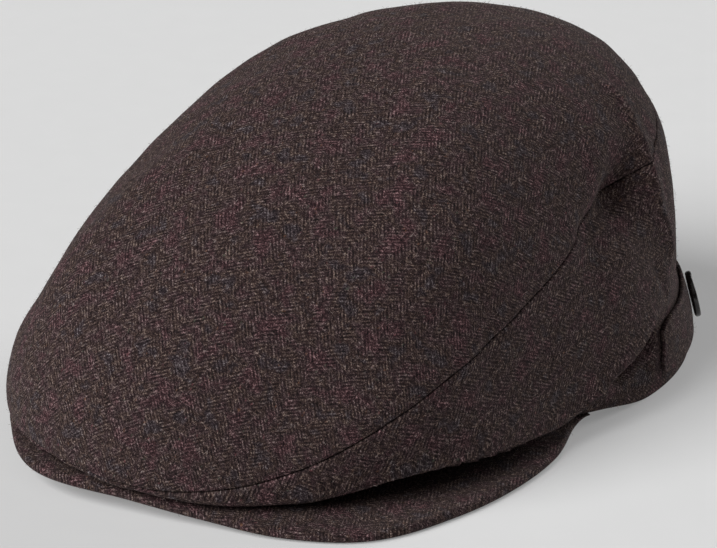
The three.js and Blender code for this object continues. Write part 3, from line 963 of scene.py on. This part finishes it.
def tweed(look):
    """Woollen tweed, woven in a broken herringbone from carded, mixed-dye yarn.

    Dark warp and lighter weft show as slanting lines that change direction at every
    wale; the carded fibres give dull colour flecks and a faint nap, and no gloss.
    """
    material, tree, shader = new_material("woollen_tweed")
    grain = output_of(tree, "ShaderNodeUVMap", uv_map="grain")
    in_mm = vector_node(tree, "SCALE", {0: grain, "Scale": 1 / MM})
    # Hand-like unevenness: the yarns wander within lumps of about 9 mm
    wander = noise_node(tree, in_mm, 1 / 9, output="Color")
    centred = vector_node(tree, "SUBTRACT", {0: wander, 1: (0.5, 0.5, 0.5)})
    both_ways = (2 * look.wander / MM,) * 3
    moved = vector_node(tree, "MULTIPLY_ADD", {0: centred, 1: both_ways, 2: in_mm})
    # Carded fibres, drawn as coarse as they need to show, blur the strands
    fibre = noise_node(tree, in_mm, 2.1, 3, Roughness=0.8)
    # The nap hides the strands in places, about 4 mm across
    clear = range_node(tree, noise_node(tree, in_mm, 0.25), 0.35, 0.65, 0.25)
    centred_strand = math_node(tree, "SUBTRACT", strands(tree, moved, look), 0.5)
    strand = math_node(tree, "MULTIPLY_ADD", centred_strand, clear, 0.5)
    # Uneven carding: lighter and darker spots from 2 mm down
    mottle = noise_node(tree, in_mm, 0.6, Roughness=0.7)
    shares = (
        (fibre, look.fibre_contrast),
        (strand, look.strand_contrast),
        (yarn_tones(tree, moved, strand), look.yarn_contrast),
        (mottle, look.mottle_contrast),
    )
    tone = 0.0
    for part, contrast in shares:
        tone = math_node(tree, "MULTIPLY_ADD", part, contrast, tone)
    # Tones that lie further from the middle than this take the end colours
    middle = 0.5 * sum(contrast for part, contrast in shares)
    woven = colour_steps(
        tree,
        range_node(tree, tone, middle - 0.38, middle + 0.44),
        {0.05: look.darkest, 0.32: look.dark, 0.55: look.middle, 0.74: look.light, 0.95: look.salt},
    )
    # Patches of dye, about 10 mm wide: maroon, olive and slate over the brown
    tint = colour_steps(
        tree,
        noise_node(tree, moved, 1 / 10, 3, Roughness=0.6),
        {0.36: look.slate, 0.45: look.olive, 0.53: look.neutral, 0.63: look.maroon},
    )
    dyed = mix_colour(tree, 0.7, woven, tint, "OVERLAY")
    # Short flecks of bright fibre that lie with the yarn
    along_yarn = output_of(tree, "ShaderNodeMapping", {"Vector": moved, "Scale": (0.8, 0.45, 1)})
    fleck = noise_node(tree, along_yarn, 1.0, 1)
    shown = range_node(tree, fleck, 0.68, 0.78, 0.0, look.fleck_strength)
    fleck_colour = colour_steps(
        tree,
        noise_node(tree, moved, 0.11, 0),
        {0.0: look.fleck_green, 0.42: look.fleck_rust, 0.5: look.salt, 0.55: look.fleck_red},
        "CONSTANT",
    )
    # Relief: rounded strands and standing fibres
    ribs = math_node(tree, "MULTIPLY", strand, look.strand_depth)
    height = math_node(tree, "MULTIPLY_ADD", fibre, look.nap_depth, ribs)
    relief_of = {"Strength": 1.0, "Distance": 1.0, "Height": height}
    finish = {
        "Base Color": mix_colour(tree, shown, dyed, fleck_colour),
        "Normal": output_of(tree, "ShaderNodeBump", relief_of),
        "Roughness": 0.92,
        "Specular IOR Level": 0.15,
        "Sheen Weight": look.sheen,
        "Sheen Roughness": 0.5,
        "Sheen Tint": look.salt[:],
    }
    fill(tree, shader, finish)
    return material


def wool_end(look):
    """Loose wool in the cloth's paler tones: rough and dull, so it shows no highlight"""
    material, tree, shader = new_material("stray_wool")
    piece = output_of(tree, "ShaderNodeObjectInfo", output="Random")
    place = output_of(tree, "ShaderNodeTexCoord", output="Object")
    # The tone changes from fibre to fibre and a little from piece to piece
    picked = math_node(tree, "MULTIPLY_ADD", piece, 0.05, noise_node(tree, place, 400, 0))
    colour = colour_steps(tree, picked, {0.4: look.middle, 0.55: look.light, 0.65: look.salt})
    fill(tree, shader, {"Base Color": colour, "Roughness": 0.9, "Specular IOR Level": 0.2})
    return material


def resin(look):
    """Cast polyester resin, polished: dark and clouded, its sharp highlight a little worn"""
    material, tree, shader = new_material("polished_resin")
    place = output_of(tree, "ShaderNodeTexCoord", output="Object")
    cloud = noise_node(tree, place, 220, 3, Distortion=1.5)
    colour = colour_steps(tree, cloud, {0.4: look.button, 0.7: look.button_cloud})
    scuffed = range_node(tree, noise_node(tree, place, 900), 0.4, 0.7, 0.18, 0.3)
    fill(tree, shader, {"Base Color": colour, "Roughness": scuffed, "IOR": 1.55})
    return material


def opal_sheet(look):
    """Opal acrylic sheet, lit from below: even and pale, so shadows on it stay faint"""
    material, tree, shader = new_material("opal_acrylic")
    place = output_of(tree, "ShaderNodeTexCoord", output="Object")
    duller = [0.985 * channel for channel in look.floor[:3]] + [1.0]
    tooth = noise_node(tree, place, 60)
    finish = {
        "Base Color": colour_steps(tree, tooth, {0.3: look.floor, 0.7: duller}),
        "Roughness": 0.95,
        "Specular IOR Level": 0.1,
        "Emission Color": (1, 1, 1, 1),
        "Emission Strength": look.floor_glow,
    }
    fill(tree, shader, finish)
    return material


# Settings


def length(name, description, millimetres):
    return bpy.props.FloatProperty(
        name=name, description=description, default=millimetres * MM, unit="LENGTH", precision=4
    )


def degrees(name, description, value):
    return bpy.props.FloatProperty(
        name=name, description=description + ", in degrees", default=value
    )


def shade(name, description, value):
    return bpy.props.FloatVectorProperty(
        name=name, description=description, default=linear(value), subtype="COLOR", size=4
    )


def amount(name, description, value):
    return bpy.props.FloatProperty(
        name=name, description=description, default=value, subtype="FACTOR"
    )


class CapSizes(bpy.types.PropertyGroup):
    """Sizes of the cap; the shapes of its pieces follow from them"""

    opening_half_width: length("Opening half width", "From the opening's centre to a side", 81)
    opening_front: length("Opening front", "From the opening's centre to the front hem", 100)
    opening_back: length("Opening back", "From the opening's centre to the back hem", 95)
    crown_half_width: length("Crown half width", "From the centre to the crown's side", 95)
    crown_front: length("Crown front", "From the centre to the front fold", 187)
    crown_back: length("Crown back", "From the centre to the crown's back", 86)
    crown_height: length("Crown height", "Height of the top above the table", 132)
    crown_top_ahead: length("Top ahead", "How far the top lies ahead of the centre", 9)
    swell: length("Swell", "How far the crown swells out over the left of the peak", 10)
    swell_angle: degrees("Swell angle", "Angle from the front where it swells most", 42)
    swell_spread: degrees("Swell spread", "Angle over which the swell fades", 20)
    cloth: length("Cloth", "Thickness of the cloth with its backing", 2)
    seam_gap: length("Seam gap", "Space left at every seam", 0.3)
    seam_roll: length("Seam roll", "Radius of the cloth's turn into a seam", 0.9)
    dent_depth: length("Dent depth", "Depth of the deepest dent", 8)
    unevenness: length("Unevenness", "Height of the cloth's soft unevenness", 0.9)
    pucker: length("Pucker", "Height of the ripples beside a seam", 0.25)
    peak_lip: length("Peak lip", "How far the peak shows past the fold", 2)
    peak_thickness: length("Peak thickness", "Thickness of the covered board", 3.5)
    peak_arch: length("Peak arch", "Height of the peak's edge at its middle", 8)
    peak_hollow: length("Peak hollow", "How far the peak dips between root and edge", 1.8)
    peak_wing_angle: degrees("Peak wings", "Angle from the front where the peak ends", 86)
    strap_height: length("Belt height", "Height of the half belt", 23)
    strap_above_hem: length("Belt above hem", "From the table to the half belt", 5.5)
    strap_thickness: length("Belt thickness", "Thickness of the half belt", 1.6)
    strap_clearance: length("Belt clearance", "Space between the belt and the crown", 0.4)
    strap_end_angle: degrees("Belt end", "Angle from the front where the belt starts", 114)
    strap_end_rounding: degrees("Belt end rounding", "Angle over which its end narrows", 6)
    button_radius: length("Button radius", "Radius of each button", 9)
    button_thickness: length("Button thickness", "Thickness of each button", 2.5)
    button_angle: degrees("Button angle", "Angle from the front of each button", 149)


class CapLook(bpy.types.PropertyGroup):
    """Colours and weave of the cap"""

    wale: length("Wale", "Width of one band of the herringbone", 5.6)
    pitch: length("Strand pitch", "Distance from one slanting strand to the next", 1.2)
    wander: length("Wander", "How far the yarns wander", 0.5)
    strand_depth: length("Strand depth", "Height of a strand", 0.12)
    nap_depth: length("Nap depth", "Height of the standing fibres", 0.26)
    sheen: amount("Sheen", "Pale glow of the nap seen along the cloth", 0.05)
    fibre_contrast: amount("Fibre contrast", "How far single fibres stand out", 2.0)
    mottle_contrast: amount("Mottle contrast", "Strength of light and dark spots", 0.9)
    strand_contrast: amount("Strand contrast", "How far the strands stand out by tone", 0.26)
    yarn_contrast: amount("Yarn contrast", "How far one yarn differs from the next", 0.5)
    fibre_length: length("Fibre length", "Longest stray wool end", 1.6)
    fibre_radius: length("Fibre radius", "Half the thickness of a wool end", 0.04)
    fibre_lean: amount("Fibre lean", "How far a wool end leans over, as a share", 0.7)
    fleck_strength: amount("Flecks", "Strength of the bright flecks", 0.35)
    darkest: shade("Darkest", "Between the strands", "#150f10")
    dark: shade("Dark", "Dark yarn", "#2f2425")
    middle: shade("Middle", "Most of the yarn", "#4b3b3c")
    light: shade("Light", "Light yarn", "#776864")
    salt: shade("Salt", "Palest fibres", "#bbaba6")
    slate: shade("Slate", "Slate patches", "#6f7886")
    olive: shade("Olive", "Olive patches", "#857b6d")
    neutral: shade("Neutral", "Neutral patches", "#81797d")
    maroon: shade("Maroon", "Maroon patches", "#997582")
    fleck_rust: shade("Rust flecks", "Rust flecks", "#8a6148")
    fleck_red: shade("Red flecks", "Red flecks", "#7f4a50")
    fleck_green: shade("Green flecks", "Grey green flecks", "#626b5b")
    button: shade("Button", "Button resin", "#1b1716")
    button_cloud: shade("Button cloud", "Clouds in the button resin", "#2a211e")


class StageLook(bpy.types.PropertyGroup):
    """Floor, light and camera"""

    floor: shade("Floor", "Colour of the sheet", "#c2c2c2")
    floor_glow: amount("Floor glow", "Light that comes through the sheet", 0.2)
    floor_size: length("Floor size", "Width of the sheet", 40000)
    light: amount("Light", "Strength of all the lamps together", 1.0)
    surround: amount("Surround", "Strength of the pale room around the cap", 0.02)
    azimuth: degrees("Azimuth", "Camera's angle round from the front to the left", 50)
    elevation: degrees("Elevation", "Camera's angle above the floor", 21.7)
    distance: length("Distance", "From the camera to the cap's middle", 1000)
    lens: bpy.props.FloatProperty(
        name="Lens", description="Focal length", default=135.1, unit="CAMERA"
    )


# Steps that build the cap


def shape_of(context):
    return CrownShape(context.scene.cap_sizes)


def material_of(name, maker, look):
    return bpy.data.materials.get(name) or maker(look)


class BuildCrownTop(bpy.types.Operator):
    """Build the long top panel of the crown"""

    bl_idname = "flat_cap.crown_top"
    bl_label = "Crown top"

    def execute(self, context):
        clothe(context, top_panel(shape_of(context)), "crown_top", fibres=7000, seed=3)
        return {"FINISHED"}


class BuildSidePanels(bpy.types.Operator):
    """Build both side panels, down to the hem"""

    bl_idname = "flat_cap.side_panels"
    bl_label = "Side panels"

    def execute(self, context):
        for side, node in ((1, "side_panel_left"), (-1, "side_panel_right")):
            piece = side_panel(shape_of(context), side)
            clothe(context, piece, node, fibres=3500, seed=5 + side)
        return {"FINISHED"}


class BuildPeak(bpy.types.Operator):
    """Build the covered peak"""

    bl_idname = "flat_cap.peak"
    bl_label = "Peak"

    def execute(self, context):
        clothe(context, peak_board(shape_of(context)), "peak", fibres=2000, seed=8)
        return {"FINISHED"}


class BuildHalfBelt(bpy.types.Operator):
    """Build the half belt round the back"""

    bl_idname = "flat_cap.half_belt"
    bl_label = "Half belt"

    def execute(self, context):
        clothe(context, half_belt(shape_of(context)), "back_strap", fibres=800, seed=9)
        return {"FINISHED"}


class BuildButtons(bpy.types.Operator):
    """Build the button near each end of the half belt"""

    bl_idname = "flat_cap.buttons"
    bl_label = "Buttons"

    def execute(self, context):
        glossy = material_of("polished_resin", resin, context.scene.cap_look)
        for side, node in ((1, "strap_button_left"), (-1, "strap_button_right")):
            dress(button(shape_of(context), side), glossy, "button", node)
        return {"FINISHED"}


class BuildStage(bpy.types.Operator):
    """Lay the floor, light the cap and set the camera"""

    bl_idname = "flat_cap.stage"
    bl_label = "Stage"

    def execute(self, context):
        scene = context.scene
        look = scene.cap_stage
        half = look.floor_size / 2
        corners = np.array([(-half, -half, 0), (half, -half, 0), (half, half, 0), (-half, half, 0)])
        mesh = bpy.data.meshes.new("floor")
        mesh.from_pydata(corners.tolist(), [], [(0, 1, 2, 3)])
        mesh.materials.append(opal_sheet(look))
        floor = bpy.data.objects.new("floor", mesh)
        scene.collection.objects.link(floor)
        scene.view_settings.view_transform = "Standard"
        azimuth, elevation = math.radians(look.azimuth), math.radians(look.elevation)
        right = Vector((math.cos(azimuth), math.sin(azimuth), 0))
        back = Vector(
            (
                math.sin(azimuth) * math.cos(elevation),
                -math.cos(azimuth) * math.cos(elevation),
                math.sin(elevation),
            )
        )
        upward = back.cross(right)
        self.light(scene, look, right)
        middle = Vector(CAP_MIDDLE) * MM
        aim = middle - right * AIM_LEFT * MM - upward * AIM_BELOW * MM
        lens = bpy.data.cameras.new("camera")
        lens.lens = look.lens
        lens.clip_start, lens.clip_end = 0.05, 100
        camera = bpy.data.objects.new("camera", lens)
        camera.location = middle + back * look.distance
        camera.rotation_euler = (camera.location - aim).to_track_quat("Z", "Y").to_euler()
        scene.collection.objects.link(camera)
        scene.camera = camera
        return {"FINISHED"}

    def light(self, scene, look, right):
        """Broad soft lamps round the cap, and a faint pale room"""
        ahead = Vector((0, 0, 1)).cross(right)
        for lamp in LAMPS:
            at = dict(zip(LAMP_COLUMNS, lamp))
            sun = bpy.data.lights.new(at["name"], "SUN")
            sun.energy = at["strength"] * look.light
            sun.angle = math.radians(at["softness"])
            turn, rise = math.radians(at["turn"]), math.radians(at["rise"])
            level = right * math.cos(turn) + ahead * math.sin(turn)
            toward = level * math.cos(rise) + Vector((0, 0, math.sin(rise)))
            holder = bpy.data.objects.new(at["name"], sun)
            holder.rotation_euler = toward.to_track_quat("Z", "Y").to_euler()
            scene.collection.objects.link(holder)
        world = bpy.data.worlds.new("studio")
        world.use_nodes = True
        around = world.node_tree.nodes["Background"]
        around.inputs["Color"].default_value = (1, 1, 1, 1)
        around.inputs["Strength"].default_value = look.surround
        scene.world = world


class FlatCapPanel(bpy.types.Panel):
    """Lists the steps that build the cap"""

    bl_idname = "VIEW3D_PT_flat_cap"
    bl_label = "Flat cap"
    bl_space_type = "VIEW_3D"
    bl_region_type = "UI"
    bl_category = "Flat cap"

    def draw(self, context):
        for step in STEPS:
            self.layout.operator(step.bl_idname)
        for group in (context.scene.cap_sizes, context.scene.cap_look, context.scene.cap_stage):
            box = self.layout.box()
            for name in group.__annotations__:
                box.prop(group, name)


STEPS = (
    BuildCrownTop,
    BuildSidePanels,
    BuildPeak,
    BuildHalfBelt,
    BuildButtons,
    BuildStage,
)
GROUPS = {"cap_sizes": CapSizes, "cap_look": CapLook, "cap_stage": StageLook}


def register():
    for cls in (*GROUPS.values(), *STEPS, FlatCapPanel):
        bpy.utils.register_class(cls)
    for name, group in GROUPS.items():
        setattr(bpy.types.Scene, name, bpy.props.PointerProperty(type=group))


def unregister():
    for name in GROUPS:
        delattr(bpy.types.Scene, name)
    for cls in reversed((*GROUPS.values(), *STEPS, FlatCapPanel)):
        bpy.utils.unregister_class(cls)


def main():
    register()
    bpy.ops.flat_cap.crown_top()
    bpy.ops.flat_cap.side_panels()
    bpy.ops.flat_cap.peak()
    bpy.ops.flat_cap.half_belt()
    bpy.ops.flat_cap.buttons()
    bpy.ops.flat_cap.stage()


if __name__ == "__main__":
    main()
